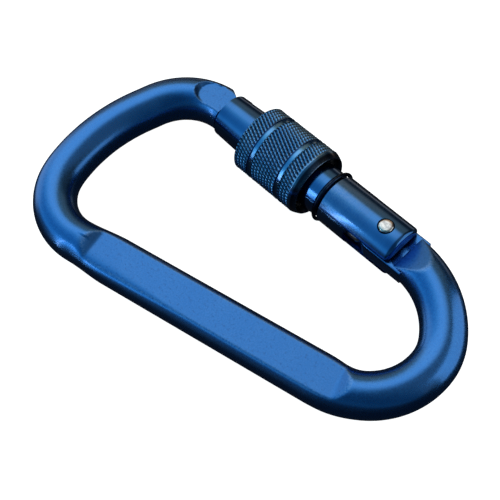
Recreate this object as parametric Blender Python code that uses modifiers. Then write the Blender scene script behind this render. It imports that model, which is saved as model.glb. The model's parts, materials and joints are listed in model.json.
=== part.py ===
"""Locking carabiner: a bent and pressed bar with a sprung screw-lock gate.

Metres, +Z up. The body's plane is horizontal, the gate's axis runs along X
and the gate's hinge rivet stands along Z.
"""
import math

import bmesh
import bpy
from mathutils import Matrix, Vector

MM = 0.001

# Place of the hinge rivet in the frame, which puts the origin at the middle
# of the object's footprint, on the surface that it lies on.
HINGE = Vector((16.19, 17.23, 6.60)) * MM

# Bar and its middle line, in mm from the hinge rivet.
BAR_RADIUS = 4.0
NOSE_FACE_X = -39.2
BAR_CORNERS = [
    ((-48.2, 1.1), 12.2),
    ((-55.4, -20.1), 31.0),
    ((-49.6, -39.0), 11.3),
    ((26.6, -22.8), 12.6),
    ((16.9, -0.7), 17.6),
]
BAR_START = (-36.8, 0.0)
BAR_END = (4.0, 0.0)
SECTION_SIDES = 24
ARC_STEP = math.radians(8.0)

# Spine, pressed flat between two short ramps.
SPINE_HALF_WIDTH = 4.55
SPINE_FLAT_Z = 2.9
SPINE_FLAT_FROM = 14.6
SPINE_FLAT_TO = 64.2
SPINE_RAMP = 1.9
SPINE_WIDENING = 8.0

# Nose: two flats, a chamfer on its outer side and a T-shaped key.
NOSE_FLAT_Z = 3.1
NOSE_FLAT_AT = (-44.8, -1.6)
NOSE_FLAT_TURN = math.radians(28.0)
KEY_NECK_Z = 1.2
KEY_HEAD_Z = 2.3
KEY_HEAD_FROM = -36.4
KEY_HEAD_TO = -33.7
KEY_Y = (-3.0, 2.4)

# Tang that stands in the gate's fork.
TANG_HALF = 1.7
TANG_X = (-2.6, 6.8)
TANG_Y = (-4.12, 3.9)
FACET_X = 5.0
FACET_ANGLE = math.radians(24.7)
RIVET_HOLE_RADIUS = 1.52

# Gate, turned from bar.
GATE_RADIUS = 4.77
GATE_FRONT_RADIUS = 4.53
GATE_NOSE_X = -38.8
GATE_HINGE_X = 3.9
GATE_END_CHAMFER = 1.05
RING_GROOVE_X = (-13.4, -12.0)
RING_GROOVE_RADIUS = 4.25
FORK_HALF = 2.35
FORK_FLOOR_X = -5.8
KEYWAY_MOUTH_Z = 1.5
KEYWAY_LIP_X = -36.85
KEYWAY_HEAD_Z = 2.6
KEYWAY_FLOOR_X = -33.0
KEYWAY_SIDE_Y = -3.3

# Spring, plunger and their bore in the gate.
PLUNGER_Y = -2.6
PLUNGER_RADIUS = 1.1
PLUNGER_TIP_X = -2.85
PLUNGER_BACK_X = -8.0
SPRING_BORE_RADIUS = 1.32
SPRING_BORE_END_X = -16.6
SPRING_COIL_RADIUS = 0.82
SPRING_WIRE_RADIUS = 0.2
SPRING_TURNS = 7
SPRING_X = (-16.1, -8.4)

# Rivet.
RIVET_RADIUS = 1.31
RIVET_HALF_LENGTH = 4.72
RIVET_DOME = 0.34

# Stop ring.
STOP_RING_X = (-13.2, -12.2)
STOP_RING_INNER = 4.45
STOP_RING_OUTER = 5.15

# Locking sleeve and the friction ring in its mouth.
SLEEVE_X = (-31.1, -16.0)
SLEEVE_RADIUS = 6.6
SLEEVE_BORE = 4.85
SLEEVE_GROOVES = ((-27.9, -26.9), (-21.1, -20.1))
SLEEVE_GROOVE_DEPTH = 0.35
SLEEVE_END_CHAMFER_FROM = -17.4
SLEEVE_END_RADIUS = 6.05
SLEEVE_POCKET_X = (-19.9, -17.3)
SLEEVE_POCKET_RADIUS = 5.9
SLEEVE_LIP_RADIUS = 5.45
SLEEVE_LIP_TO = -16.8
SLEEVE_MOUTH_RADIUS = 5.8
FRICTION_RING_X = (-19.65, -17.55)
FRICTION_RING_OUTER = 5.65

TURN_STEPS = 40
GATE_STEPS = 48


def clear_scene():
    for obj in list(bpy.data.objects):
        bpy.data.objects.remove(obj, do_unlink=True)


def make_material(name, colour, roughness, metallic):
    material = bpy.data.materials.new(name)
    material.use_nodes = True
    shader = material.node_tree.nodes["Principled BSDF"]
    shader.inputs["Base Color"].default_value = (*colour, 1.0)
    shader.inputs["Roughness"].default_value = roughness
    shader.inputs["Metallic"].default_value = metallic
    return material


def add_object(name, mesh, collection, material=None, parent=None, smooth=True):
    obj = bpy.data.objects.new(name, mesh)
    collection.objects.link(obj)
    if material is not None:
        mesh.materials.clear()
        mesh.materials.append(material)
    if parent is not None:
        obj.parent = parent
    if smooth:
        mesh.shade_smooth()
        mesh.set_sharp_from_angle(angle=math.radians(32.0))
    return obj


def add_cutter(name, mesh, collection):
    obj = bpy.data.objects.new(name, mesh)
    collection.objects.link(obj)
    obj.hide_render = True
    obj.display_type = "WIRE"
    return obj


def baked(obj):
    """The evaluated mesh of an object, which is then removed."""
    depsgraph = bpy.context.evaluated_depsgraph_get()
    depsgraph.update()
    mesh = bpy.data.meshes.new_from_object(obj.evaluated_get(depsgraph))
    bpy.data.objects.remove(obj, do_unlink=True)
    return mesh


def box_mesh(name, low, high, turn=0.0, tilt=0.0, pivot=(0.0, 0.0, 0.0)):
    """A box between two corners in mm, tilted about Y and turned about Z."""
    mesh = bpy.data.meshes.new(name)
    bm = bmesh.new()
    bmesh.ops.create_cube(bm, size=1.0)
    low = Vector(low) * MM
    high = Vector(high) * MM
    size = high - low
    bmesh.ops.transform(
        bm,
        matrix=Matrix.Translation((low + high) / 2) @ Matrix.Diagonal((*size, 1.0)),
        verts=bm.verts,
    )
    place = Matrix.Translation(Vector(pivot) * MM)
    turned = Matrix.Rotation(turn, 4, "Z") @ Matrix.Rotation(tilt, 4, "Y")
    bmesh.ops.transform(bm, matrix=place @ turned, verts=bm.verts)
    bm.to_mesh(mesh)
    bm.free()
    return mesh


def mirrored_in_z(mesh):
    """The same mesh with its mirror image below the body's plane."""
    bm = bmesh.new()
    bm.from_mesh(mesh)
    copy = bmesh.ops.duplicate(bm, geom=bm.verts[:] + bm.edges[:] + bm.faces[:])
    copied = [item for item in copy["geom"] if isinstance(item, bmesh.types.BMVert)]
    bmesh.ops.scale(bm, vec=(1.0, 1.0, -1.0), verts=copied)
    faces = [item for item in copy["geom"] if isinstance(item, bmesh.types.BMFace)]
    bmesh.ops.reverse_faces(bm, faces=faces)
    bm.to_mesh(mesh)
    bm.free()
    return mesh


def rod_mesh(name, radius, start, end, segments):
    """A cylinder in mm between two points."""
    mesh = bpy.data.meshes.new(name)
    bm = bmesh.new()
    start = Vector(start) * MM
    end = Vector(end) * MM
    bmesh.ops.create_cone(
        bm,
        cap_ends=True,
        segments=segments,
        radius1=radius * MM,
        radius2=radius * MM,
        depth=(end - start).length,
    )
    turn = (end - start).to_track_quat("Z", "Y").to_matrix().to_4x4()
    bmesh.ops.transform(
        bm, matrix=Matrix.Translation((start + end) / 2) @ turn, verts=bm.verts
    )
    bm.to_mesh(mesh)
    bm.free()
    return mesh


def turned_mesh(name, profile, collection, steps, closed=False):
    """A profile of (x, radius) in mm turned about the X axis.

    The profile runs from high x to low x along its outer side.
    """
    mesh = bpy.data.meshes.new(name)
    points = [(radius * MM, 0.0, x * MM) for x, radius in profile]
    edges = [(i, i + 1) for i in range(len(points) - 1)]
    if closed:
        edges.append((len(points) - 1, 0))
    mesh.from_pydata(points, edges, [])
    obj = bpy.data.objects.new(name, mesh)
    collection.objects.link(obj)
    screw = obj.modifiers.new("Screw", "SCREW")
    screw.axis = "Z"
    screw.steps = steps
    screw.render_steps = steps
    screw.use_merge_vertices = True
    screw.merge_threshold = 0.00001
    result = baked(obj)
    result.transform(Matrix.Rotation(math.radians(90.0), 4, "Y"))
    return result


def cut(obj, cutter, operation="DIFFERENCE"):
    boolean = obj.modifiers.new(cutter.name, "BOOLEAN")
    boolean.operation = operation
    boolean.solver = "EXACT"
    boolean.object = cutter


def bar_stations():
    """Points of the bar's middle line: (x, y, direction, distance on spine)."""
    points = [Vector(BAR_START)]
    points += [Vector(corner) for corner, _ in BAR_CORNERS]
    points += [Vector(BAR_END)]
    spine_from = Vector(BAR_CORNERS[2][0])
    spine_way = (Vector(BAR_CORNERS[3][0]) - spine_from).normalized()
    line = [(points[0], (points[1] - points[0]).normalized())]
    for index, (_, radius) in enumerate(BAR_CORNERS):
        before, corner, after = points[index], points[index + 1], points[index + 2]
        into = (corner - before).normalized()
        out = (after - corner).normalized()
        turn = into.angle_signed(out)
        reach = radius * math.tan(abs(turn) / 2)
        start = corner - into * reach
        side = Vector((into.y, -into.x)) if turn > 0 else Vector((-into.y, into.x))
        centre = start + side * radius
        count = max(3, round(abs(turn) / ARC_STEP))
        arcs_meet = (start - line[-1][0]).dot(into) < 0
        if arcs_meet:
            line.pop()
        for step in range(int(arcs_meet), count + 1):
            angle = -turn * step / count
            rotate = Matrix.Rotation(angle, 2)
            line.append((centre + rotate @ (start - centre), rotate @ into))
        if index == 2:
            marks = [
                SPINE_FLAT_FROM - SPINE_RAMP,
                SPINE_FLAT_FROM,
                SPINE_FLAT_FROM + 3.0,
                (SPINE_FLAT_FROM + SPINE_FLAT_TO) / 2,
                SPINE_FLAT_TO - 6.0,
            ]
            for mark in marks:
                line.append((spine_from + spine_way * mark, spine_way))
    line.append((points[-1], (points[-1] - points[-2]).normalized()))
    stations = []
    for point, way in line:
        along = (point - spine_from).dot(spine_way)
        off = abs((point - spine_from).cross(spine_way))
        on_spine = along if off < 3.0 and way.dot(spine_way) > 0.8 else None
        if stations and (point - stations[-1][0]).length < 0.25:
            continue
        stations.append((point, way, on_spine))
    return stations


def smooth_step(value):
    value = min(1.0, max(0.0, value))
    return value * value * (3.0 - 2.0 * value)


def bar_section(on_spine):
    """Half width and flat height of the bar's section, in mm."""
    if on_spine is None:
        return BAR_RADIUS, BAR_RADIUS
    rise = smooth_step((on_spine - SPINE_FLAT_FROM + SPINE_WIDENING / 2) / SPINE_WIDENING)
    fall = smooth_step((SPINE_FLAT_TO - on_spine + SPINE_WIDENING / 2) / SPINE_WIDENING)
    width = BAR_RADIUS + (SPINE_HALF_WIDTH - BAR_RADIUS) * min(rise, fall)
    into = (on_spine - SPINE_FLAT_FROM + SPINE_RAMP) / SPINE_RAMP
    out = (SPINE_FLAT_TO + SPINE_RAMP - on_spine) / SPINE_RAMP
    depth = min(1.0, max(0.0, min(into, out)))
    return width, BAR_RADIUS + (SPINE_FLAT_Z - BAR_RADIUS) * depth


def bar_mesh():
    """The bent bar, lofted from round sections to the pressed spine."""
    bm = bmesh.new()
    rings = []
    for point, way, on_spine in bar_stations():
        half_width, flat = bar_section(on_spine)
        side = Vector((way.y, -way.x))
        ring = []
        for step in range(SECTION_SIDES):
            angle = 2.0 * math.pi * step / SECTION_SIDES
            across = half_width * math.cos(angle)
            up = max(-flat, min(flat, BAR_RADIUS * math.sin(angle)))
            place = (point.x + side.x * across, point.y + side.y * across, up)
            ring.append(bm.verts.new(Vector(place) * MM))
        rings.append(ring)
    for first, second in zip(rings, rings[1:]):
        for step in range(SECTION_SIDES):
            nxt = (step + 1) % SECTION_SIDES
            bm.faces.new((first[step], first[nxt], second[nxt], second[step]))
    bm.faces.new(list(reversed(rings[0])))
    bm.faces.new(rings[-1])
    bmesh.ops.recalc_face_normals(bm, faces=bm.faces)
    mesh = bpy.data.meshes.new("bar")
    bm.to_mesh(mesh)
    bm.free()
    return mesh


def make_body(parts, cutters, parent, material):
    body = add_object("body", bar_mesh(), parts, material, parent)

    end = box_mesh("nose_end", (NOSE_FACE_X, -8, -8), (-30, 8, 8))
    cut(body, add_cutter("nose_end_cutter", end, cutters))
    flats = mirrored_in_z(
        box_mesh(
            "nose_flats",
            (0, -9, NOSE_FLAT_Z),
            (14, 9, NOSE_FLAT_Z + 4),
            turn=NOSE_FLAT_TURN,
            pivot=(*NOSE_FLAT_AT, 0),
        )
    )
    cut(body, add_cutter("nose_flat_cutter", flats, cutters))
    corner = box_mesh(
        "nose_corner",
        (-6, 0, -8),
        (9, 6, 8),
        turn=math.radians(-30.0),
        pivot=(-41.6, 3.7, 0),
    )
    cut(body, add_cutter("nose_corner_cutter", corner, cutters))
    neck = box_mesh(
        "key_neck",
        (NOSE_FACE_X - 2.0, KEY_Y[0], -KEY_NECK_Z),
        (KEY_HEAD_FROM + 0.5, KEY_Y[1], KEY_NECK_Z),
    )
    cut(body, add_cutter("key_neck_adder", neck, cutters), "UNION")
    head = box_mesh(
        "key_head",
        (KEY_HEAD_FROM, KEY_Y[0], -KEY_HEAD_Z),
        (KEY_HEAD_TO, KEY_Y[1], KEY_HEAD_Z),
    )
    cut(body, add_cutter("key_head_adder", head, cutters), "UNION")

    facets = mirrored_in_z(
        box_mesh(
            "hinge_facets",
            (-12, -9, 0),
            (12, 9, 8),
            tilt=-FACET_ANGLE,
            pivot=(FACET_X, -1.0, TANG_HALF),
        )
    )
    cut(body, add_cutter("hinge_facet_cutter", facets, cutters))
    relief = box_mesh("hinge_relief", (-4, -9, -8), (FACET_X - 0.02, 9, 8))
    cut(body, add_cutter("hinge_relief_cutter", relief, cutters))

    tang = box_mesh(
        "tang", (TANG_X[0], TANG_Y[0], -TANG_HALF), (TANG_X[1], TANG_Y[1], TANG_HALF)
    )
    bm = bmesh.new()
    bm.from_mesh(tang)
    corners = []
    for edge in bm.edges:
        a, b = edge.verts
        upright = abs(a.co.z - b.co.z) > MM
        if upright and a.co.x < 0:
            corners.append(edge)
    bmesh.ops.bevel(
        bm,
        geom=corners,
        offset=1.3 * MM,
        segments=4,
        profile=0.5,
        affect="EDGES",
    )
    bm.to_mesh(tang)
    bm.free()
    cut(body, add_cutter("tang_adder", tang, cutters), "UNION")
    hole = rod_mesh("rivet_hole", RIVET_HOLE_RADIUS, (0, 0, -6), (0, 0, 6), 32)
    cut(body, add_cutter("tang_hole_cutter", hole, cutters))
    return body


def make_gate(parts, cutters, parent, material):
    r = GATE_RADIUS
    front = GATE_FRONT_RADIUS
    low, high = RING_GROOVE_X
    profile = [
        (GATE_HINGE_X, 0.0),
        (GATE_HINGE_X, r - GATE_END_CHAMFER),
        (GATE_HINGE_X - GATE_END_CHAMFER, r),
        (high, r),
        (high, RING_GROOVE_RADIUS),
        (low, RING_GROOVE_RADIUS),
        (low, front),
        (GATE_NOSE_X + 0.25, front),
        (GATE_NOSE_X, front - 0.25),
        (GATE_NOSE_X, 0.0),
    ]
    mesh = turned_mesh("gate", profile, cutters, GATE_STEPS)
    gate = add_object("gate", mesh, parts, material, parent)
    fork = box_mesh("fork", (FORK_FLOOR_X, -8, -FORK_HALF), (8, 8, FORK_HALF))
    cut(gate, add_cutter("fork_cutter", fork, cutters))
    mouth = box_mesh(
        "keyway_mouth",
        (GATE_NOSE_X - 2, KEYWAY_SIDE_Y, -KEYWAY_MOUTH_Z),
        (KEYWAY_LIP_X + 0.5, 8, KEYWAY_MOUTH_Z),
    )
    cut(gate, add_cutter("keyway_mouth_cutter", mouth, cutters))
    slot = box_mesh(
        "keyway_head",
        (KEYWAY_LIP_X, KEYWAY_SIDE_Y, -KEYWAY_HEAD_Z),
        (KEYWAY_FLOOR_X, 8, KEYWAY_HEAD_Z),
    )
    cut(gate, add_cutter("keyway_head_cutter", slot, cutters))
    hole = rod_mesh("gate_rivet_hole", RIVET_HOLE_RADIUS, (0, 0, -7), (0, 0, 7), 32)
    cut(gate, add_cutter("gate_hole_cutter", hole, cutters))
    bore = rod_mesh(
        "spring_bore",
        SPRING_BORE_RADIUS,
        (SPRING_BORE_END_X, PLUNGER_Y, 0),
        (FORK_FLOOR_X + 1, PLUNGER_Y, 0),
        20,
    )
    cut(gate, add_cutter("spring_bore_cutter", bore, cutters))
    return gate


def make_rivet(parts, cutters, parent, material):
    half = RIVET_HALF_LENGTH
    top = half + RIVET_DOME
    profile = [(top, 0.0)]
    for step in range(1, 5):
        angle = math.radians(90.0) * step / 4
        profile.append((half + RIVET_DOME * math.cos(angle), RIVET_RADIUS * math.sin(angle)))
    profile += [(-x, radius) for x, radius in reversed(profile)]
    mesh = turned_mesh("hinge_rivet", profile, cutters, 28)
    mesh.transform(Matrix.Rotation(math.radians(-90.0), 4, "Y"))
    return add_object("hinge_rivet", mesh, parts, material, parent)


def make_plunger(parts, cutters, parent, material):
    r = PLUNGER_RADIUS
    tip = PLUNGER_TIP_X
    profile = [(tip, 0.0)]
    for step in range(1, 6):
        angle = math.radians(90.0) * step / 5
        profile.append((tip - r + r * math.cos(angle), r * math.sin(angle)))
    profile += [
        (PLUNGER_BACK_X + 0.2, r),
        (PLUNGER_BACK_X, r - 0.2),
        (PLUNGER_BACK_X, 0.0),
    ]
    mesh = turned_mesh("spring_plunger", profile, cutters, 24)
    mesh.transform(Matrix.Translation((0.0, PLUNGER_Y * MM, 0.0)))
    return add_object("spring_plunger", mesh, parts, material, parent)


def make_spring(parts, cutters, parent, material):
    count = SPRING_TURNS * 12
    curve = bpy.data.curves.new("gate_spring", "CURVE")
    curve.dimensions = "3D"
    curve.bevel_depth = SPRING_WIRE_RADIUS * MM
    curve.bevel_resolution = 1
    curve.use_fill_caps = True
    spline = curve.splines.new("POLY")
    spline.points.add(count)
    for index, point in enumerate(spline.points):
        angle = 2.0 * math.pi * index / 12
        share = index / count
        # The end turns lie close, as on any compression spring.
        ease = share + 0.06 * math.sin(2.0 * math.pi * share) / (2.0 * math.pi) * -1.0
        x = SPRING_X[0] + (SPRING_X[1] - SPRING_X[0]) * ease
        y = PLUNGER_Y + SPRING_COIL_RADIUS * math.cos(angle)
        z = SPRING_COIL_RADIUS * math.sin(angle)
        point.co = (x * MM, y * MM, z * MM, 1.0)
    obj = bpy.data.objects.new("gate_spring_wire", curve)
    cutters.objects.link(obj)
    mesh = baked(obj)
    bm = bmesh.new()
    bm.from_mesh(mesh)
    bmesh.ops.remove_doubles(bm, verts=bm.verts, dist=0.000001)
    bm.to_mesh(mesh)
    bm.free()
    return add_object("gate_spring", mesh, parts, material, parent)


def make_stop_ring(parts, cutters, parent, material):
    low, high = STOP_RING_X
    inner, outer = STOP_RING_INNER, STOP_RING_OUTER
    profile = [
        (high, inner),
        (high, outer - 0.25),
        (high - 0.25, outer),
        (low + 0.25, outer),
        (low, outer - 0.25),
        (low, inner),
    ]
    mesh = turned_mesh("stop_ring", profile, cutters, TURN_STEPS, closed=True)
    return add_object("stop_ring", mesh, parts, material, parent)


def make_sleeve(parts, cutters, parent, material):
    low, high = SLEEVE_X
    r = SLEEVE_RADIUS
    floor = r - SLEEVE_GROOVE_DEPTH
    first, second = SLEEVE_GROOVES
    profile = [
        (high, SLEEVE_MOUTH_RADIUS),
        (high, SLEEVE_END_RADIUS),
        (SLEEVE_END_CHAMFER_FROM, r),
        (second[1], r),
        (second[1], floor),
        (second[0], floor),
        (second[0], r),
        (first[1], r),
        (first[1], floor),
        (first[0], floor),
        (first[0], r),
        (low + 0.3, r),
        (low, r - 0.3),
        (low, SLEEVE_BORE + 0.35),
        (low + 0.35, SLEEVE_BORE),
        (SLEEVE_POCKET_X[0], SLEEVE_BORE),
        (SLEEVE_POCKET_X[0], SLEEVE_POCKET_RADIUS),
        (SLEEVE_POCKET_X[1], SLEEVE_POCKET_RADIUS),
        (SLEEVE_POCKET_X[1], SLEEVE_LIP_RADIUS),
        (SLEEVE_LIP_TO, SLEEVE_LIP_RADIUS),
    ]
    mesh = turned_mesh("locking_sleeve", profile, cutters, TURN_STEPS, closed=True)
    return add_object("locking_sleeve", mesh, parts, material, parent)


def make_friction_ring(parts, cutters, parent, material):
    low, high = FRICTION_RING_X
    profile = [
        (high, SLEEVE_BORE),
        (high, FRICTION_RING_OUTER),
        (low, FRICTION_RING_OUTER),
        (low, SLEEVE_BORE),
    ]
    mesh = turned_mesh("friction_ring", profile, cutters, TURN_STEPS, closed=True)
    return add_object("friction_ring", mesh, parts, material, parent)


def main():
    clear_scene()
    parts = bpy.data.collections.new("locking_carabiner")
    cutters = bpy.data.collections.new("cutters")
    bpy.context.scene.collection.children.link(parts)
    bpy.context.scene.collection.children.link(cutters)

    hinge = bpy.data.objects.new("gate_hinge_axis", None)
    hinge.location = HINGE
    parts.objects.link(hinge)

    blue = make_material("blue_anodised", (0.035, 0.19, 0.62), 0.3, 0.9)
    steel = make_material("bright_steel", (0.72, 0.74, 0.77), 0.22, 1.0)
    spring = make_material("spring_steel", (0.55, 0.56, 0.58), 0.3, 1.0)
    black = make_material("black_steel", (0.03, 0.035, 0.045), 0.35, 0.7)
    plastic = make_material("black_plastic", (0.02, 0.02, 0.025), 0.5, 0.0)

    body = make_body(parts, cutters, hinge, blue)
    gate = make_gate(parts, cutters, hinge, blue)
    make_rivet(parts, cutters, hinge, steel)
    make_plunger(parts, cutters, hinge, steel)
    make_spring(parts, cutters, hinge, spring)
    make_stop_ring(parts, cutters, hinge, black)
    make_sleeve(parts, cutters, hinge, blue)
    make_friction_ring(parts, cutters, hinge, plastic)
    for cutter in cutters.objects:
        cutter.parent = hinge
    return body, gate


main()
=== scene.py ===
"""Locking carabiner: the finished look of a bent blue bar with a knurled screw sleeve.

Metres, +Z up. The bar's plane is horizontal, the gate's axis runs along X and
the hinge rivet stands along Z. Lengths below are in mm from the rivet's middle.
"""
import json
import math

import bmesh
import bpy
from mathutils import Matrix, Vector


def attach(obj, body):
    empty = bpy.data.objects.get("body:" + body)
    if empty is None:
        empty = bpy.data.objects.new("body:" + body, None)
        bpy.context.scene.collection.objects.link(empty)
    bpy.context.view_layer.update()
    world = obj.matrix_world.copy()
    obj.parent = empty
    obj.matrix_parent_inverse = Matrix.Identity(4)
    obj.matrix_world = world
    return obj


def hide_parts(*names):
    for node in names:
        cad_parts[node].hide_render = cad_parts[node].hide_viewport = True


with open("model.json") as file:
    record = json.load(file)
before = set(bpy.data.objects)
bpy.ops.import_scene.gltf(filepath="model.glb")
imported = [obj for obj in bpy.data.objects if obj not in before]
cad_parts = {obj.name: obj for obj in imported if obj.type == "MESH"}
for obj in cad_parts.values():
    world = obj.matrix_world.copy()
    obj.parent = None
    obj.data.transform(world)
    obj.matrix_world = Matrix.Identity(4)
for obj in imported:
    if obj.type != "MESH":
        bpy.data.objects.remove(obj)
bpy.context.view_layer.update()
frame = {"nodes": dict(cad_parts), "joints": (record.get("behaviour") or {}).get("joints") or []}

MM = 0.001
HINGE = Vector(
    next(joint for joint in frame["joints"] if joint["name"] == "gate_hinge")["pos_m"]
)

# Bar: its middle line, its round section and the pressed spine.
BAR_RADIUS = 4.0
BAR_START = Vector((-36.8, 0.0))
BAR_END = Vector((4.0, 0.0))
BAR_CORNERS = [
    (Vector((-48.2, 1.1)), 12.2),
    (Vector((-55.4, -20.1)), 31.0),
    (Vector((-49.6, -39.0)), 11.3),
    (Vector((26.6, -22.8)), 12.6),
    (Vector((16.9, -0.7)), 17.6),
]
BAR_SIDES = 132
ROLLED_EDGE = 0.85
MEETING_REACH = 2.2
MEETING_STEPS = 9
SPINE_FROM = BAR_CORNERS[2][0]
SPINE_WAY = (BAR_CORNERS[3][0] - BAR_CORNERS[2][0]).normalized()
SPINE_HALF_WIDTH = 4.55
SPINE_FLAT_Z = 2.9
SPINE_FLAT = (14.6, 64.2)
SPINE_RAMP_SLOPE = 0.58
SPINE_WIDENING = 8.0

# Where the nose and the hinge end begin along the bar.
ARMS_FROM_Y = -8.0
NOSE_TO_X = -30.0
HINGE_END_X = (0.0, 16.0)
BEYOND = 8.0

# Nose: milled flats, a chamfered outer corner and the T-shaped key.
NOSE_FACE_X = -39.2
NOSE_FLAT_Z = 3.1
NOSE_MILL_AT = Vector((-43.4, -0.35))
NOSE_MILL_RADIUS = 2.3
NOSE_MILL_FLARE = 0.35
NOSE_MILL_SLOPE = 1.6
NOSE_CHAMFER_AT = Vector((-41.6, 3.7))
NOSE_CHAMFER_WAY = Vector((0.5, 0.866))
KEY_Y = (-3.0, 2.4)
KEY_NECK_END = -35.9
KEY_NECK_HALF = 1.2
KEY_HEAD_X = (-36.4, -33.7)
KEY_HEAD_HALF = 2.3

# Hinge end: two facets that run down to the tang in the gate's fork.
FACET_X = 5.0
FACET_SLOPE = 0.46
TANG_HALF = 1.7
TANG_LOW = Vector((-2.6, -4.12))
TANG_HIGH = Vector((6.8, 3.9))
TANG_EDGE_ROUND = 0.14
TANG_NOSE_ROUND = 1.3
HOLE_RADIUS = 1.52

# Gate: two diameters, the ring groove, the hidden thread, fork, keyway and bore.
GATE_RADIUS = 4.77
FRONT_RADIUS = 4.53
GATE_END = 3.9
GATE_END_ROUND = 0.9
GATE_NOSE = -38.8
RING_GROOVE = (-13.4, -12.0)
RING_GROOVE_RADIUS = 4.25
THREAD_X = (-31.4, -19.6)
THREAD_LEAD = 2.5
THREAD_STARTS = 2.0
THREAD_DEPTH = 0.34
FORK_FLOOR = -5.8
FORK_HALF = 2.35
KEYWAY_SIDE_Y = -3.3
KEYWAY_MOUTH = (-36.35, 1.5)
KEYWAY_HEAD = (-36.85, -33.0, 2.6)
BORE_RADIUS = 1.32
BORE_X = (-16.6, -5.0)

# Sleeve.
SLEEVE_RADIUS = 6.6
SLEEVE_LOW = -31.1
SLEEVE_HIGH = -16.0
KNURL_COUNT = 56
KNURL_DEPTH = 0.38
KNURL_PER_MM = 0.70
KNURL_CROSSED = 0.46
KNURL_CREST = 0.12
KNURL_BANDS = ((-20.1, -17.5), (-26.9, -21.1), (-30.95, -27.9))
GROOVE_DEPTH = 0.35
SLEEVE_BORE = 4.85
POCKET_X = (-19.9, -17.3)
POCKET_RADIUS = 5.9
LIP_RADIUS = 5.45

# Rivet, plunger, stop ring and spring.
RIVET_RADIUS = 1.31
PLUNGER_Y = -2.6
PLUNGER_X = (-8.0, -2.85)
PLUNGER_RADIUS = 1.1
STOP_RING_X = -12.7
STOP_RING_HALF_WIDTH = 0.34
STOP_RING_RADIUS = 4.8
STOP_RING_HALF_DEPTH = 0.35
SPRING_START = -16.1
SPRING_LENGTH = 7.7
SPRING_TURNS = 7.0
COIL_RADIUS = 0.82
SPRING_WIRE_RADIUS = 0.2


# ---------------------------------------------------------------- node trees


class Wire:
    """A socket whose maths is written as a Python expression."""

    def __init__(self, tree, socket):
        self.tree = tree
        self.socket = socket

    def maths(self, operation, *others):
        return self.tree.wire(
            "ShaderNodeMath", {"operation": operation}, dict(enumerate((self, *others)))
        )

    def reflected(self, operation, first):
        return self.tree.wire("ShaderNodeMath", {"operation": operation}, {0: first, 1: self})

    def __add__(self, other):
        return self.maths("ADD", other)

    def __radd__(self, other):
        return self.reflected("ADD", other)

    def __sub__(self, other):
        return self.maths("SUBTRACT", other)

    def __rsub__(self, other):
        return self.reflected("SUBTRACT", other)

    def __mul__(self, other):
        return self.maths("MULTIPLY", other)

    def __rmul__(self, other):
        return self.reflected("MULTIPLY", other)

    def __truediv__(self, other):
        return self.maths("DIVIDE", other)

    def __rtruediv__(self, other):
        return self.reflected("DIVIDE", other)

    def __pow__(self, other):
        return self.maths("POWER", other)

    def __abs__(self):
        return self.maths("ABSOLUTE")


class Tree:
    """A node tree whose nodes all come from one method."""

    def __init__(self, tree):
        self.tree = tree

    def node(self, kind, settings=None, sockets=None):
        """A node with its settings, then the values or links of its sockets."""
        made = self.tree.nodes.new(kind)
        for name, value in (settings or {}).items():
            if name == "stops":
                fill_ramp(made.color_ramp, value)
            else:
                setattr(made, name, value)
        for key, value in (sockets or {}).items():
            if isinstance(value, Wire):
                self.tree.links.new(value.socket, made.inputs[key])
            else:
                made.inputs[key].default_value = value
        return made

    def wire(self, kind, settings=None, sockets=None, output=0):
        return Wire(self, self.node(kind, settings, sockets).outputs[output])

    def mix(self, share, first, second):
        """A colour between two colours."""
        return self.wire(
            "ShaderNodeMix", {"data_type": "RGBA"}, {0: share, 6: first, 7: second}, 2
        )

    def eased(self, value, low, high, to_low=0.0, to_high=1.0):
        """A value brought smoothly from one range to another and held at its ends."""
        return self.wire(
            "ShaderNodeMapRange",
            {"interpolation_type": "SMOOTHSTEP"},
            {0: value, 1: low, 2: high, 3: to_low, 4: to_high},
        )

    def grain(self, vector, scale, detail=2.0, roughness=0.5):
        return self.wire(
            "ShaderNodeTexNoise",
            None,
            {"Vector": vector, "Scale": scale, "Detail": detail, "Roughness": roughness},
        )


def fill_ramp(ramp, stops):
    while len(ramp.elements) < len(stops):
        ramp.elements.new(0.5)
    for element, (position, colour) in zip(ramp.elements, stops):
        element.position = position
        element.color = colour


def colour(red, green, blue):
    return (red, green, blue, 1.0)


# ----------------------------------------------------------------- materials


def new_material(name):
    material = bpy.data.materials.new(name)
    material.use_nodes = True
    tree = Tree(material.node_tree)
    shader = material.node_tree.nodes["Principled BSDF"]
    return material, tree, shader


def feed(tree, shader, sockets):
    for name, value in sockets.items():
        if isinstance(value, Wire):
            tree.tree.links.new(value.socket, shader.inputs[name])
        else:
            shader.inputs[name].default_value = value


def object_place(tree):
    return tree.wire("ShaderNodeTexCoord", output=3)


def attribute(tree, name):
    return tree.wire("ShaderNodeAttribute", {"attribute_name": name}, None, 2)


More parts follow.
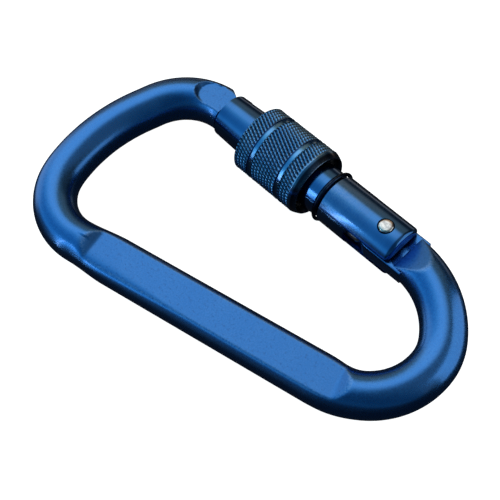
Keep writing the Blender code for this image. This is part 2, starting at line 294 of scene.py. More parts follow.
def anodised_bar():
    """Satin anodised aluminium, shot-blasted before the dye, a little paler on its edges."""
    material, tree, shader = new_material("anodised_bar")
    place = object_place(tree)
    fine = tree.grain(place, 3600.0, 3.0, 0.6)
    pits = tree.grain(place, 1900.0, 1.0)
    cloud = tree.grain(place, 160.0, 2.0)
    pressed = attribute(tree, "pressed")
    wear = attribute(tree, "wear")

    speckle = tree.eased(fine, 0.32, 0.68)
    spots = tree.eased(pits, 0.28, 0.42, 1.0, 0.0) * (0.25 + pressed * 0.5)
    base = tree.mix(speckle, colour(0.034, 0.185, 0.56), colour(0.050, 0.240, 0.68))
    shade = tree.mix(tree.eased(cloud, 0.3, 0.7) * 0.35, base, colour(0.028, 0.19, 0.60))
    spotted = tree.mix(spots * 0.45, shade, colour(0.018, 0.085, 0.30))
    worn = tree.mix(wear * tree.eased(fine, 0.35, 0.65) * 0.38, spotted, colour(0.30, 0.50, 0.76))
    rough = 0.24 + speckle * 0.05 + pressed * 0.10 + wear * 0.06
    relief = fine * 0.55 + pits * (0.25 + pressed * 0.6)
    normal = tree.wire(
        "ShaderNodeBump", None, {"Strength": 0.32, "Distance": 0.00003, "Height": relief}
    )
    feed(
        tree,
        shader,
        {
            "Base Color": worn,
            "Roughness": rough,
            "Metallic": 1.0,
            "Normal": normal,
            "Coat Weight": 0.35,
            "Coat Roughness": 0.12,
        },
    )
    return material


def anodised_turned(name, bright, deep, gloss):
    """Anodised aluminium that keeps the fine rings of the lathe under a glossy dye, with shade
    painted near black wherever the mesh marks it.
    """
    material, tree, shader = new_material(name)
    place = object_place(tree)
    parts = tree.node("ShaderNodeSeparateXYZ", None, {0: place})
    along = Wire(tree, parts.outputs[0])
    ring_place = tree.wire("ShaderNodeCombineXYZ", None, {0: along * 5200.0})
    rings = tree.grain(ring_place, 1.0, 2.0)
    fine = tree.grain(place, 4200.0, 2.0)
    cloud = tree.grain(place, 240.0, 2.0)
    worn = attribute(tree, "wear")
    valley = attribute(tree, "valley")

    tint = tree.eased(rings * 0.5 + cloud * 0.5, 0.35, 0.65)
    base = tree.mix(tint, deep, bright)
    # Painted shade: the colour is taken to near black on the points marked in the attribute read
    # above (knurl and thread cuts, groove walls, the bore and the sleeve's mouth chamfer).
    with_painted_shade = tree.mix(tree.eased(valley, 0.15, 0.75) * 0.92, base, colour(0.003, 0.012, 0.045))
    edged = tree.mix(worn * tree.eased(fine, 0.25, 0.7) * 0.6, with_painted_shade, colour(0.30, 0.46, 0.70))
    rough = gloss + tint * 0.04 + tree.eased(fine, 0.4, 0.7) * 0.04 + worn * 0.06
    normal = tree.wire(
        "ShaderNodeBump",
        None,
        {"Strength": 0.18, "Distance": 0.00002, "Height": rings * 0.7 + fine * 0.3},
    )
    feed(
        tree,
        shader,
        {
            "Base Color": edged,
            "Roughness": rough,
            "Metallic": 1.0,
            "Normal": normal,
            "Coat Weight": 0.35,
            "Coat Roughness": 0.06,
        },
    )
    return material


def plated_steel(name, bright, deep, gloss, dent_scale, dent_depth):
    """Steel with small dents, for the rivet, the plunger, the spring and the stop ring."""
    material, tree, shader = new_material(name)
    place = object_place(tree)
    dents = tree.grain(place, dent_scale, 2.0, 0.6)
    fine = tree.grain(place, 5200.0, 2.0)
    base = tree.mix(tree.eased(dents, 0.36, 0.64), deep, bright)
    normal = tree.wire(
        "ShaderNodeBump",
        None,
        {"Strength": dent_depth, "Distance": 0.0001, "Height": dents * 0.8 + fine * 0.1},
    )
    feed(
        tree,
        shader,
        {
            "Base Color": base,
            "Roughness": gloss + tree.eased(fine, 0.3, 0.7) * 0.1,
            "Metallic": 1.0,
            "Normal": normal,
        },
    )
    return material


def ring_rubber():
    """Dull black nylon with a moulded grain."""
    material, tree, shader = new_material("black_nylon")
    place = object_place(tree)
    fine = tree.grain(place, 3000.0, 3.0)
    normal = tree.wire(
        "ShaderNodeBump", None, {"Strength": 0.3, "Distance": 0.00003, "Height": fine}
    )
    feed(
        tree,
        shader,
        {
            "Base Color": tree.mix(fine, colour(0.008, 0.008, 0.010), colour(0.030, 0.030, 0.034)),
            "Roughness": 0.42 + fine * 0.2,
            "Normal": normal,
        },
    )
    return material


def pale_floor():
    material, tree, shader = new_material("pale_floor")
    place = object_place(tree)
    soft = tree.grain(place, 9.0, 2.0)
    tone = tree.mix(soft, colour(0.93, 0.93, 0.93), colour(0.96, 0.96, 0.96))
    feed(
        tree,
        shader,
        {
            "Base Color": tone,
            "Roughness": 0.9,
            "Emission Color": tone,
            "Emission Strength": 1.05,
        },
    )
    return material


# ------------------------------------------------------------------- meshing


def place_of(x, y, z):
    """A point given in mm from the rivet, in the frame."""
    return HINGE + Vector((x, y, z)) * MM


def finished(name, mesh, material, body, node, sharp=35.0):
    """A piece in its place: it rides on a body and stands for a CAD node."""
    obj = bpy.data.objects.new(name, mesh)
    bpy.context.scene.collection.objects.link(obj)
    mesh.materials.clear()
    mesh.materials.append(material)
    mesh.shade_smooth()
    mesh.set_sharp_from_angle(angle=math.radians(sharp))
    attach(obj, body)
    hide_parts(node)
    return obj


def evaluated(obj):
    """The mesh that an object's modifiers give. The object is removed."""
    depsgraph = bpy.context.evaluated_depsgraph_get()
    depsgraph.update()
    mesh = bpy.data.meshes.new_from_object(obj.evaluated_get(depsgraph))
    bpy.data.objects.remove(obj, do_unlink=True)
    return mesh


def mesh_from(name, bm):
    bmesh.ops.recalc_face_normals(bm, faces=bm.faces)
    mesh = bpy.data.meshes.new(name)
    bm.to_mesh(mesh)
    bm.free()
    return mesh


def lathe(name, profile, steps, axis="X", offset=(0.0, 0.0)):
    """A closed profile of (distance along the axis, radius) turned about that axis."""
    bm = bmesh.new()
    rings = []
    for along, radius in profile:
        ring = []
        for step in range(steps if radius > 0.0 else 1):
            angle = 2.0 * math.pi * step / steps
            side, up = radius * math.cos(angle), radius * math.sin(angle)
            if axis == "X":
                point = place_of(along, offset[0] + side, offset[1] + up)
            else:
                point = place_of(offset[0] + side, offset[1] + up, along)
            ring.append(bm.verts.new(point))
        rings.append(ring)
    pairs = list(zip(rings, rings[1:]))
    if len(rings[0]) > 1:
        pairs.append((rings[-1], rings[0]))
    for first, second in pairs:
        for step in range(steps):
            corners = [
                first[step % len(first)],
                first[(step + 1) % len(first)],
                second[(step + 1) % len(second)],
                second[step % len(second)],
            ]
            unique = list(dict.fromkeys(corners))
            if len(unique) > 2:
                bm.faces.new(unique)
    return mesh_from(name, bm)


def filleted(corners, pieces=4):
    """A profile whose corners, given as (along, radius, fillet), are rounded."""
    result = []
    for index, (along, radius, fillet) in enumerate(corners):
        here = Vector((along, radius))
        if fillet == 0.0:
            result.append((along, radius))
            continue
        before = Vector(corners[index - 1][:2])
        after = Vector(corners[(index + 1) % len(corners)][:2])
        start = here + (before - here).normalized() * fillet
        end = here + (after - here).normalized() * fillet
        for piece in range(pieces + 1):
            share = piece / pieces
            point = start.lerp(here, share).lerp(here.lerp(end, share), share)
            result.append((point.x, point.y))
    return result


def block(low, high, round_by=0.0, upright_only=None):
    """A box between two corners in mm, its edges rounded where asked."""
    bm = bmesh.new()
    bmesh.ops.create_cube(bm, size=1.0)
    low, high = Vector(low), Vector(high)
    for vert in bm.verts:
        share = vert.co + Vector((0.5, 0.5, 0.5))
        local = Vector([a + (b - a) * s for a, b, s in zip(low, high, share)])
        vert.co = place_of(*local)
    if upright_only is not None:
        edges = []
        for edge in bm.edges:
            a, b = edge.verts
            if abs(a.co.z - b.co.z) > MM * 0.5 and (a.co.x < HINGE.x) == upright_only[0]:
                edges.append(edge)
        bmesh.ops.bevel(
            bm, geom=edges, offset=upright_only[1] * MM, segments=8, profile=0.5, affect="EDGES"
        )
    if round_by > 0.0:
        sharp = [edge for edge in bm.edges if edge.calc_face_angle(0.0) > 0.7]
        bmesh.ops.bevel(
            bm, geom=sharp, offset=round_by * MM, segments=3, profile=0.5, affect="EDGES"
        )
    return mesh_from("block", bm)


def rod(radius, low, high, steps=48, axis="Z", offset=(0.0, 0.0)):
    profile = [(high, 0.0), (high, radius), (low, radius), (low, 0.0)]
    return lathe("rod", profile, steps, axis, offset)


def combined(mesh, others):
    """A mesh joined with or cut by others, each given as (operation, mesh)."""
    obj = bpy.data.objects.new("workpiece", mesh)
    bpy.context.scene.collection.objects.link(obj)
    tools = []
    for operation, other in others:
        tool = bpy.data.objects.new("tool", other)
        bpy.context.scene.collection.objects.link(tool)
        boolean = obj.modifiers.new("combine", "BOOLEAN")
        boolean.operation = operation
        boolean.solver = "EXACT"
        boolean.object = tool
        tools.append(tool)
    result = evaluated(obj)
    for tool in tools:
        bpy.data.objects.remove(tool, do_unlink=True)
    return result


def smooth_step(value):
    value = min(1.0, max(0.0, value))
    return value * value * (3.0 - 2.0 * value)


def soft_min(first, second, radius):
    """The smaller of two values, with the crease between them rounded."""
    blend = max(radius - abs(first - second), 0.0) / radius
    return min(first, second) - blend * blend * radius / 4.0


# ------------------------------------------------------------------ body bar


def bar_line():
    """Finely spaced (point, direction) pairs along the bar's middle line."""
    points = [BAR_START] + [corner for corner, _ in BAR_CORNERS] + [BAR_END]
    nodes = [(BAR_START, (points[1] - points[0]).normalized())]
    for index, (corner, radius) in enumerate(BAR_CORNERS):
        into = (corner - points[index]).normalized()
        out = (points[index + 2] - corner).normalized()
        turn = into.angle_signed(out)
        start = corner - into * radius * math.tan(abs(turn) / 2.0)
        side = Vector((into.y, -into.x)) if turn > 0.0 else Vector((-into.y, into.x))
        centre = start + side * radius
        steps = round(radius * abs(turn) / line_step(start))
        arc = []
        for step in range(steps + 1):
            rotate = Matrix.Rotation(-turn * step / steps, 2)
            arc.append((centre + rotate @ (start - centre), rotate @ into))
        last = nodes[-1][0]
        if (start - last).dot(into) < 0.0:
            middle = (start + last) / 2.0
            while (nodes[-1][0] - middle).dot(into) > -MEETING_REACH:
                nodes.pop()
            while (arc[0][0] - middle).dot(into) < MEETING_REACH:
                arc.pop(0)
            nodes += eased_bridge(nodes[-1], arc[0], MEETING_STEPS)
        else:
            steps = max(1, round((start - last).length / line_step(start)))
            nodes += [(last.lerp(start, step / steps), into) for step in range(1, steps)]
        nodes += arc
    last, way = nodes[-1]
    steps = max(1, round((BAR_END - last).length / line_step(last)))
    ahead = (BAR_END - last).normalized()
    nodes += [(last.lerp(BAR_END, step / steps), ahead) for step in range(1, steps + 1)]
    return nodes


def eased_bridge(first, second, count):
    """Stations on a smooth curve between two arcs that meet."""
    (start, leave), (end, arrive) = first, second
    reach = (end - start).length
    bridge = []
    for step in range(1, count):
        t = step / count
        rise = t * t * (3.0 - 2.0 * t)
        point = start.lerp(end, rise)
        point += leave * reach * t * (1.0 - t) ** 2 - arrive * reach * t * t * (1.0 - t)
        bridge.append((point, leave.lerp(arrive, t).normalized()))
    return bridge


def line_step(point):
    """Distance between stations in mm: short on the nose and the hinge facets."""
    return 0.3 if point.y > -6.0 else 0.42


def bar_place(point, way, angle):
    """A point of the bar's surface in mm, with its pressed and worn shares."""
    along = (point - SPINE_FROM).dot(SPINE_WAY)
    off = abs((point - SPINE_FROM).cross(SPINE_WAY))
    on_spine = off < 3.0 and way.dot(SPINE_WAY) > 0.8
    half_width = BAR_RADIUS
    if on_spine:
        low, high = SPINE_FLAT
        rise = smooth_step((along - low + SPINE_WIDENING / 2.0) / SPINE_WIDENING)
        fall = smooth_step((high - along + SPINE_WIDENING / 2.0) / SPINE_WIDENING)
        half_width += (SPINE_HALF_WIDTH - BAR_RADIUS) * min(rise, fall)
    across = half_width * math.cos(angle)
    height = BAR_RADIUS * math.sin(angle)
    x = point.x + way.y * across
    y = point.y - way.x * across
    limits = []
    if on_spine:
        outside = max(low - along, along - high, 0.0)
        softness = 0.22
        if across > 0.0:
            softness += ROLLED_EDGE * smooth_step((38.0 - along) / 22.0)
        limits.append((SPINE_FLAT_Z + SPINE_RAMP_SLOPE * outside, softness))
    elif x < NOSE_TO_X and y > ARMS_FROM_Y:
        to_mill = Vector((min(x, NOSE_MILL_AT.x), y)) - NOSE_MILL_AT
        reach = NOSE_MILL_RADIUS + max(0.0, x - NOSE_MILL_AT.x) * NOSE_MILL_FLARE
        beyond = max(0.0, to_mill.length - reach)
        limits.append((NOSE_FLAT_Z + NOSE_MILL_SLOPE * beyond, 0.16))
    elif HINGE_END_X[0] < x < HINGE_END_X[1] and y > ARMS_FROM_Y:
        limits.append((TANG_HALF + FACET_SLOPE * (x - FACET_X), 0.14))
    pressed = wear = 0.0
    for limit, softness in limits:
        size = abs(height)
        pressed = max(pressed, smooth_step((size - limit) / 0.3 + 0.5))
        wear = max(wear, 1.0 - smooth_step(abs(size - limit) / 0.3))
        height = math.copysign(soft_min(size, limit, softness), height)
    if x < NOSE_TO_X and y > ARMS_FROM_Y:
        past = (Vector((x, y)) - NOSE_CHAMFER_AT).dot(NOSE_CHAMFER_WAY)
        held = soft_min(past, 0.0, 0.2)
        x += NOSE_CHAMFER_WAY.x * (held - past)
        y += NOSE_CHAMFER_WAY.y * (held - past)
        wear = max(wear, 0.6 * (1.0 - smooth_step(abs(past) / 0.3)))
    return (x, y, height), pressed, wear


def bar_shell():
    bm = bmesh.new()
    layers = {name: bm.verts.layers.float.new(name) for name in ("pressed", "wear")}
    rings = []
    for point, way in bar_line():
        if point.x > FACET_X - 0.2 or point.y < ARMS_FROM_Y or point.x < NOSE_FACE_X + 0.2:
            ring = []
            for step in range(BAR_SIDES):
                angle = 2.0 * math.pi * step / BAR_SIDES
                place, pressed, wear = bar_place(point, way, angle)
                vert = bm.verts.new(place_of(*place))
                vert[layers["pressed"]] = pressed
                vert[layers["wear"]] = wear
                ring.append(vert)
            rings.append(ring)
    for first, second in zip(rings, rings[1:]):
        for step in range(BAR_SIDES):
            after = (step + 1) % BAR_SIDES
            bm.faces.new((first[step], first[after], second[after], second[step]))
    bm.faces.new(list(reversed(rings[0])))
    bm.faces.new(rings[-1])
    return mesh_from("bar", bm)


def make_body(material):
    nose_waste = block((NOSE_FACE_X, -BEYOND, -BEYOND), (NOSE_TO_X, BEYOND, BEYOND))
    hinge_waste = block((-4, -9, -BEYOND), (FACET_X, 9, BEYOND))
    key_neck = block(
        (NOSE_FACE_X - 2.0, KEY_Y[0], -KEY_NECK_HALF), (KEY_NECK_END, KEY_Y[1], KEY_NECK_HALF), 0.08
    )
    key_head = block(
        (KEY_HEAD_X[0], KEY_Y[0], -KEY_HEAD_HALF), (KEY_HEAD_X[1], KEY_Y[1], KEY_HEAD_HALF), 0.16
    )
    tang = block(
        (TANG_LOW.x, TANG_LOW.y, -TANG_HALF),
        (TANG_HIGH.x, TANG_HIGH.y, TANG_HALF),
        TANG_EDGE_ROUND,
        (True, TANG_NOSE_ROUND),
    )
    mesh = combined(
        bar_shell(),
        [
            ("DIFFERENCE", nose_waste),
            ("DIFFERENCE", hinge_waste),
            ("UNION", key_neck),
            ("UNION", key_head),
            ("UNION", tang),
            ("DIFFERENCE", rod(HOLE_RADIUS, -6.0, 6.0)),
        ],
    )
    return finished("body_bar", mesh, material, "body", "body", 44.0)


# ---------------------------------------------------- cut patterns by nodes


def pattern_tree(material):
    """Helical ridges cut into a turned surface: a thread, or a knurl where two cross, with the cuts
    marked for painted shade.
    """
    group = bpy.data.node_groups.new("cut_pattern", "GeometryNodeTree")
    tree = Tree(group)
    face = group.interface
    face.new_socket(name="Geometry", in_out="INPUT", socket_type="NodeSocketGeometry")
    ids = {}
    for name in (
        "Depth",
        "Count",
        "Pitches per metre",
        "From",
        "To",
        "Above radius",
        "Crossed",
        "Crest",
    ):
        made = face.new_socket(name=name, in_out="INPUT", socket_type="NodeSocketFloat")
        ids[name] = made.identifier
    face.new_socket(name="Geometry", in_out="OUTPUT", socket_type="NodeSocketGeometry")
    given = tree.node("NodeGroupInput")

    def value(name):
        return Wire(tree, given.outputs[name])

    place = tree.node("ShaderNodeSeparateXYZ", None, {0: tree.wire("GeometryNodeInputPosition")})
    along = Wire(tree, place.outputs[0]) - HINGE.x
    side = Wire(tree, place.outputs[1]) - HINGE.y
    up = Wire(tree, place.outputs[2]) - HINGE.z
    radius = (side * side + up * up) ** 0.5
    turns = up.maths("ARCTAN2", side) * value("Count") / (2.0 * math.pi)
    lead = along * value("Pitches per metre")
    first = abs((turns + lead).maths("FRACT") * 2.0 - 1.0)
    second = abs((turns - lead).maths("FRACT") * 2.0 - 1.0) * value("Crossed")
    deepest = first.maths("MAXIMUM", second)
    profile = ((deepest - value("Crest")) / (1.0 - value("Crest"))).maths("MAXIMUM", 0.0)
    fade = 0.22 * MM
    ends = tree.eased(along, value("From"), value("From") + fade) * tree.eased(
        along, value("To") - fade, value("To"), 1.0, 0.0
    )
    mask = ends * radius.maths("GREATER_THAN", value("Above radius"))
    drop = profile * mask * value("Depth")
    scale = (0.0 - drop) / radius
    offset = tree.wire(
        "ShaderNodeCombineXYZ", None, {0: 0.0, 1: side * scale, 2: up * scale}
    )
    # The cut's depth is also stored as the mark for painted shade, so the material paints the cuts
    # dark.
    before = tree.wire(
        "GeometryNodeInputNamedAttribute", {"data_type": "FLOAT"}, {"Name": "valley"}
    )
    stored = tree.wire(
        "GeometryNodeStoreNamedAttribute",
        {"data_type": "FLOAT", "domain": "POINT"},
        {
            "Geometry": value("Geometry"),
            "Name": "valley",
            "Value": before.maths("MAXIMUM", profile * mask),
        },
    )
    moved = tree.wire("GeometryNodeSetPosition", None, {"Geometry": stored, "Offset": offset})
    real = tree.wire("GeometryNodeRealizeInstances", None, {"Geometry": moved})
    painted = tree.wire(
        "GeometryNodeSetMaterial", None, {"Geometry": real, "Material": material}
    )
    tree.node("NodeGroupOutput", None, {"Geometry": painted})
    return group, ids


def patterned(mesh, pattern, bands):
    """A turned mesh with the pattern cut into each band of settings."""
    group, ids = pattern
    obj = bpy.data.objects.new("turned", mesh)
    bpy.context.scene.collection.objects.link(obj)
    for band in bands:
        modifier = obj.modifiers.new("pattern", "NODES")
        modifier.node_group = group
        for name, value in band.items():
            modifier[ids[name]] = float(value)
    return evaluated(obj)


def shade_inside(mesh):
    """Marks the sleeve's bore, its mouth with the end chamfer and the walls of its grooves for
    painted shade, which the material paints near black.
    """
    layer = mesh.attributes.new("valley", "FLOAT", "POINT")
    for index, vert in enumerate(mesh.vertices):
        local = (vert.co - HINGE) / MM
        radius = math.hypot(local.y, local.z)
        in_mouth = local.x > SLEEVE_HIGH - 1.1
        on_wall = any(abs(local.x - wall) < 0.05 for wall in (-20.1, -26.9))
        # Painted shade: the bore, the mouth and its chamfer, and one wall of each groove.
        if radius < 5.95 or in_mouth or (on_wall and radius < SLEEVE_RADIUS - 0.1):
            layer.data[index].value = 1.0


def mark_edges(mesh, rings):
    """Stores how worn the mesh is near given (along, radius) edges, in mm."""
    layer = mesh.attributes.new("wear", "FLOAT", "POINT")
    for index, vert in enumerate(mesh.vertices):
        local = (vert.co - HINGE) / MM
        radius = math.hypot(local.y, local.z)
        near = min(math.hypot(local.x - along, radius - ring) for along, ring in rings)
        layer.data[index].value = 1.0 - smooth_step(near / 0.22)


# -------------------------------------------------------------------- sleeve


def evenly(low, high, count):
    return [low + (high - low) * step / count for step in range(count + 1)]


def make_sleeve(material):
    r = SLEEVE_RADIUS
    floor = r - GROOVE_DEPTH
    bands = KNURL_BANDS
    profile = [(SLEEVE_HIGH + 0.05, 5.85), (SLEEVE_HIGH, 5.92), (SLEEVE_HIGH, 6.0)]
    profile += [(SLEEVE_HIGH - 0.08, 6.08), (-16.7, 6.36), (-17.25, 6.56), (-17.4, r)]
    for index, (low, high) in enumerate(bands):
        rows = evenly(high, low, round((high - low) / 0.17))
        profile += [(x, r) for x in rows]
        if index < 2:
            wall_high, wall_low = low, bands[index + 1][1]
            profile += [(wall_high, floor + 0.08), (wall_high - 0.08, floor)]
            profile += [(x, floor) for x in evenly(wall_high - 0.2, wall_low + 0.2, 3)]
            profile += [(wall_low + 0.08, floor), (wall_low, floor + 0.08)]
    profile += [(SLEEVE_LOW + 0.04, r - 0.1), (SLEEVE_LOW, r - 0.2)]
    profile += filleted(
        [
            (SLEEVE_LOW, 5.2, 0.0),
            (-30.75, SLEEVE_BORE, 0.0),
            (POCKET_X[0], SLEEVE_BORE, 0.0),
            (POCKET_X[0], POCKET_RADIUS, 0.1),
            (POCKET_X[1], POCKET_RADIUS, 0.1),
            (POCKET_X[1], LIP_RADIUS, 0.0),
            (-16.8, LIP_RADIUS, 0.05),
        ]
    )
    profile = [(min(x, SLEEVE_HIGH), radius) for x, radius in profile]
    mesh = lathe("sleeve", profile, KNURL_COUNT * 6)
    pattern = pattern_tree(material)
    settings = {
        "Depth": KNURL_DEPTH * MM,
        "Count": KNURL_COUNT,
        "Pitches per metre": -KNURL_PER_MM / MM,
        "Above radius": 6.45 * MM,
        "Crossed": KNURL_CROSSED,
        "Crest": KNURL_CREST,
    }
    shade_inside(mesh)
    mesh = patterned(
        mesh,
        pattern,
        [dict(settings, From=low * MM, To=high * MM) for low, high in bands],
    )
    mark_edges(mesh, [(-17.4, r), (-27.9, r), (-21.1, r), (-16.0, 6.0), (-31.1, 6.4)])
    return finished(
        "sleeve_knurled", mesh, material, "sleeve", "locking_sleeve", 60.0
    ), pattern


# ---------------------------------------------------------------------- gate


def make_gate(material, pattern):
    front = FRONT_RADIUS
    r = GATE_RADIUS
    outline = filleted(
        [
            (GATE_END, 0.0, 0.0),
            (GATE_END, r, GATE_END_ROUND),
            (RING_GROOVE[1], r, 0.12),
            (RING_GROOVE[1], RING_GROOVE_RADIUS, 0.0),
            (RING_GROOVE[0], RING_GROOVE_RADIUS, 0.0),
            (RING_GROOVE[0], front, 0.08),
        ]
    )
    rows = evenly(-19.0, -31.8, 96)
    outline += [(x, front) for x in rows]
    outline += filleted([(GATE_NOSE, front, 0.3), (GATE_NOSE, 0.0, 0.0)])
    thread = {
        "Depth": THREAD_DEPTH * MM,
        "Count": THREAD_STARTS,
        "Pitches per metre": THREAD_STARTS / THREAD_LEAD / MM,
        "Above radius": 4.3 * MM,
        "Crossed": 0.0,
        "Crest": 0.15,
        "From": THREAD_X[0] * MM,
        "To": THREAD_X[1] * MM,
    }
    mesh = patterned(lathe("gate", outline, 144), pattern, [thread])
    mark_edges(mesh, [(RING_GROOVE[1], r), (GATE_NOSE, front)])
    fork = block((FORK_FLOOR, -BEYOND, -FORK_HALF), (BEYOND, BEYOND, FORK_HALF))
    mouth_end, mouth_half = KEYWAY_MOUTH
    keyway_mouth = block(
        (GATE_NOSE - 2.0, KEYWAY_SIDE_Y, -mouth_half), (mouth_end, BEYOND, mouth_half)
    )
    head_lip, head_floor, head_half = KEYWAY_HEAD
    keyway_head = block(
        (head_lip, KEYWAY_SIDE_Y, -head_half), (head_floor, BEYOND, head_half), 0.2
    )
    mesh = combined(
        mesh,
        [
            ("DIFFERENCE", fork),
            ("DIFFERENCE", keyway_mouth),
            ("DIFFERENCE", keyway_head),
            ("DIFFERENCE", rod(HOLE_RADIUS, -7.0, 7.0)),
            ("DIFFERENCE", rod(BORE_RADIUS, *BORE_X, 32, "X", (PLUNGER_Y, 0.0))),
        ],
    )
    return finished("gate_tube", mesh, material, "gate", "gate", 40.0)


# --------------------------------------------------------------- small parts


def make_rivet(material):
    upper = [(4.99, 0.0), (4.988, 0.45), (4.975, 0.8), (4.945, 1.02), (4.89, 1.16)]
    upper += [(4.81, 1.255), (4.73, 1.295), (4.66, RIVET_RADIUS)]
    profile = upper + [(-z, radius) for z, radius in reversed(upper)]
    mesh = lathe("rivet", profile, 72, "Z")
    return finished("rivet_pin", mesh, material, "gate", "hinge_rivet", 50.0)


def make_plunger(material):
    (back, tip), radius = PLUNGER_X, PLUNGER_RADIUS
    profile = [(tip, 0.0)]
    for step in range(1, 11):
        angle = math.radians(9.0 * step)
        profile.append((tip - radius + radius * math.cos(angle), radius * math.sin(angle)))
    profile += [(back + 0.2, radius), (back, radius - 0.2), (back, 0.0)]
    mesh = lathe("plunger", profile, 48, "X", (PLUNGER_Y, 0.0))
    return finished("plunger_pin", mesh, material, "plunger", "spring_plunger")


def make_stop_ring(material):
    profile = []
    for step in range(20):
        angle = 2.0 * math.pi * step / 20
        along = STOP_RING_X + STOP_RING_HALF_WIDTH * math.cos(angle)
        profile.append((along, STOP_RING_RADIUS + STOP_RING_HALF_DEPTH * math.sin(angle)))
    mesh = lathe("stop_ring", profile, 120)
    return finished("snap_ring", mesh, material, "gate", "stop_ring", 60.0)


def make_spring(material):
    """A coil whose sizes are the named inputs of its node tree."""
    group = bpy.data.node_groups.new("coil_spring", "GeometryNodeTree")
    tree = Tree(group)
    face = group.interface
    face.new_socket(name="Geometry", in_out="INPUT", socket_type="NodeSocketGeometry")
    sizes = {
        "Turns": SPRING_TURNS,
        "Coil radius": COIL_RADIUS * MM,
        "Wire radius": SPRING_WIRE_RADIUS * MM,
        "Length": SPRING_LENGTH * MM,
    }
    ids = {}
    for name in sizes:
        made = face.new_socket(name=name, in_out="INPUT", socket_type="NodeSocketFloat")
        ids[name] = made.identifier
    face.new_socket(name="Geometry", in_out="OUTPUT", socket_type="NodeSocketGeometry")
    given = tree.node("NodeGroupInput")

    def value(name):
        return Wire(tree, given.outputs[name])

    spiral = tree.wire(
        "GeometryNodeCurveSpiral",
        None,
        {
            "Resolution": 28,
            "Rotations": value("Turns"),
            "Start Radius": value("Coil radius"),
            "End Radius": value("Coil radius"),
            "Height": value("Length"),
        },
    )
    start = place_of(SPRING_START, PLUNGER_Y, 0.0)
    turned = tree.wire(
        "GeometryNodeTransform",
        None,
        {"Geometry": spiral, "Translation": start, "Rotation": (0.0, math.radians(90.0), 0.0)},
    )
    section = tree.wire(
        "GeometryNodeCurvePrimitiveCircle", None, {"Resolution": 10, "Radius": value("Wire radius")}
    )
    coil = tree.wire(
        "GeometryNodeCurveToMesh",
        None,
        {"Curve": turned, "Profile Curve": section, "Fill Caps": True},
    )
    real = tree.wire("GeometryNodeRealizeInstances", None, {"Geometry": coil})
    painted = tree.wire(
        "GeometryNodeSetMaterial", None, {"Geometry": real, "Material": material}
    )
    tree.node("NodeGroupOutput", None, {"Geometry": painted})
    obj = bpy.data.objects.new("coil", bpy.data.meshes.new("coil"))
    bpy.context.scene.collection.objects.link(obj)
    modifier = obj.modifiers.new("coil", "NODES")
    modifier.node_group = group
    for name, size in sizes.items():
        modifier[ids[name]] = size
    mesh = evaluated(obj)
    return finished("coil_spring", mesh, material, "gate", "gate_spring", 60.0)


# -------------------------------------------------------- floor, light, view

CAMERA_AZIMUTH = math.radians(55.855)
CAMERA_ELEVATION = math.radians(60.915)
CAMERA_ROLL = math.radians(-11.503)
CAMERA_DISTANCE = 0.1968
CAMERA_TARGET = (-15.79, -17.386, 0.0)
CAMERA_LENS = 81.67


def make_floor(material):
    bm = bmesh.new()
    bmesh.ops.create_grid(bm, x_segments=8, y_segments=8, size=4.0)
    floor = bpy.data.objects.new("floor", mesh_from("floor", bm))
    floor.data.materials.append(material)
    bpy.context.scene.collection.objects.link(floor)
    floor.visible_glossy = False


def add_softbox(name, place, size, radiance, tone, aim=None):
    """A soft rectangle of light of a given brightness that faces a point."""
    data = bpy.data.lights.new(name, "AREA")
    data.shape = "RECTANGLE"
    data.size, data.size_y = size
    data.energy = radiance * math.pi * size[0] * size[1]
    data.color = tone
    light = bpy.data.objects.new(name, data)
    bpy.context.scene.collection.objects.link(light)
    light.location = place
    aim = Vector(aim or (0.0, 0.0, 0.0))
    light.rotation_mode = "QUATERNION"
    light.rotation_quaternion = (aim - Vector(place)).to_track_quat("-Z", "X")
    light.visible_camera = False
    return light


# Light that reaches the object, by the angle in degrees from straight up
# towards +Y: red, green and blue of each stop.
AROUND_GATE = [
    (-180.0, (0.010, 0.010, 0.012)),
    (-110.0, (0.020, 0.020, 0.022)),
    (-92.0, (0.10, 0.10, 0.10)),
    (-84.0, (0.06, 0.08, 0.10)),
    (-76.0, (0.08, 0.16, 0.22)),
    (-69.0, (0.22, 0.56, 0.72)),
    (-61.0, (0.20, 0.60, 0.75)),
    (-46.0, (0.12, 0.40, 0.56)),
    (-32.0, (0.12, 0.38, 0.52)),
    (-17.0, (0.18, 0.46, 0.62)),
    (-3.0, (0.42, 0.74, 0.80)),
    (11.0, (1.05, 1.12, 1.12)),
    (30.0, (1.12, 1.12, 1.08)),
    (37.0, (0.90, 0.76, 0.62)),
    (43.0, (0.46, 0.32, 0.20)),
    (62.0, (0.50, 0.31, 0.19)),
    (72.0, (0.30, 0.20, 0.13)),
    (80.0, (0.03, 0.03, 0.03)),
    (96.0, (0.04, 0.04, 0.04)),
    (103.0, (0.60, 0.40, 0.26)),
    (112.0, (0.02, 0.02, 0.02)),
    (180.0, (0.010, 0.010, 0.012)),
]


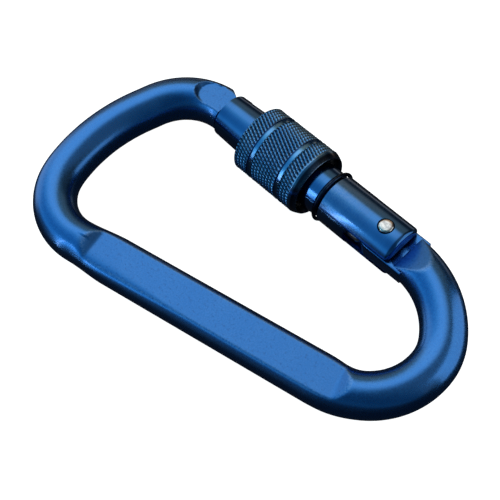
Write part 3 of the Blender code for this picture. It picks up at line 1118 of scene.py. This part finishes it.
def make_world():
    """A soft room: a bright band overhead, dim blue towards -Y, brown-grey towards +Y."""
    world = bpy.data.worlds.new("studio")
    world.use_nodes = True
    bpy.context.scene.world = world
    tree = Tree(world.node_tree)
    world.node_tree.nodes.clear()
    direction = tree.wire("ShaderNodeTexCoord")
    parts = tree.node("ShaderNodeSeparateXYZ", None, {0: direction})
    across, towards, up = (Wire(tree, parts.outputs[index]) for index in range(3))
    angle = towards.maths("ARCTAN2", up) / (2.0 * math.pi) + 0.5
    stops = [(turn / 360.0 + 0.5, colour(*tone)) for turn, tone in AROUND_GATE]
    band = tree.wire("ShaderNodeValToRGB", {"stops": stops}, {0: angle})
    slope = across / up.maths("MAXIMUM", 0.06)
    dimmed = tree.mix(
        tree.eased(slope, -0.30, 0.15), band, tree.mix(0.8, band, colour(0.01, 0.015, 0.02))
    )
    left = (
        tree.eased(across, -0.93, -0.80, 1.0, 0.0)
        * tree.eased(up, -0.35, -0.15)
        * tree.eased(towards, 0.06, 0.27, 1.0, 0.12)
        * tree.eased(towards, -0.55, -0.30, 0.3, 1.0)
    )
    room = tree.mix(left, dimmed, colour(0.72, 0.78, 0.80))
    rays = tree.wire("ShaderNodeLightPath")
    seen = tree.mix(rays, room, colour(1.0, 1.0, 1.0))
    sky = tree.wire("ShaderNodeBackground", None, {"Color": seen, "Strength": 1.0})
    tree.node("ShaderNodeOutputWorld", None, {"Surface": sky})


def make_lights():
    add_softbox("edge_strip", (-0.42, -0.90, 0.175), (0.80, 0.045), 5.5, (0.92, 0.97, 1.0))
    card = (0.062, 0.036, 0.024)
    add_softbox("right_card", card, (0.05, 0.06), 0.8, (0.92, 1.0, 1.0), (0.037, 0.007, 0.024))
    make_world()


def make_camera():
    """The camera looks at the object from above its hinge end."""
    level, rise = CAMERA_AZIMUTH, CAMERA_ELEVATION
    back = Vector(
        (
            math.sin(level) * math.cos(rise),
            -math.cos(level) * math.cos(rise),
            math.sin(rise),
        )
    )
    right = Vector((math.cos(level), math.sin(level), 0.0))
    up = back.cross(right)
    right, up = (
        right * math.cos(CAMERA_ROLL) + up * math.sin(CAMERA_ROLL),
        up * math.cos(CAMERA_ROLL) - right * math.sin(CAMERA_ROLL),
    )
    data = bpy.data.cameras.new("camera")
    data.lens = CAMERA_LENS
    data.sensor_width = 36.0
    data.clip_start = 0.01
    data.clip_end = 20.0
    camera = bpy.data.objects.new("camera", data)
    bpy.context.scene.collection.objects.link(camera)
    turn = Matrix((right, up, back)).transposed().to_4x4()
    camera.matrix_world = (
        Matrix.Translation(place_of(*CAMERA_TARGET) + back * CAMERA_DISTANCE) @ turn
    )
    bpy.context.scene.camera = camera


# ---------------------------------------------------------------------- make

bar_finish = anodised_bar()
gate_finish = anodised_turned(
    "anodised_gate", colour(0.040, 0.190, 0.52), colour(0.030, 0.150, 0.44), 0.13
)
sleeve_finish = anodised_turned(
    "anodised_sleeve", colour(0.13, 0.38, 0.74), colour(0.08, 0.29, 0.66), 0.17
)
bright_steel = plated_steel(
    "bright_steel", colour(0.80, 0.82, 0.84), colour(0.50, 0.53, 0.57), 0.16, 1500.0, 0.5
)
black_steel = plated_steel(
    "black_steel", colour(0.030, 0.055, 0.11), colour(0.015, 0.030, 0.07), 0.16, 2000.0, 0.1
)
spring_steel = plated_steel(
    "spring_steel", colour(0.60, 0.60, 0.60), colour(0.45, 0.45, 0.46), 0.25, 3000.0, 0.1
)

make_body(bar_finish)
_, cut_pattern = make_sleeve(sleeve_finish)
make_gate(gate_finish, cut_pattern)
make_rivet(bright_steel)
make_plunger(bright_steel)
make_stop_ring(black_steel)
make_spring(spring_steel)

friction_ring = frame["nodes"]["friction_ring"]
friction_ring.data.materials.clear()
friction_ring.data.materials.append(ring_rubber())

make_floor(pale_floor())
make_lights()
make_camera()
bpy.context.scene.view_settings.view_transform = "Standard"
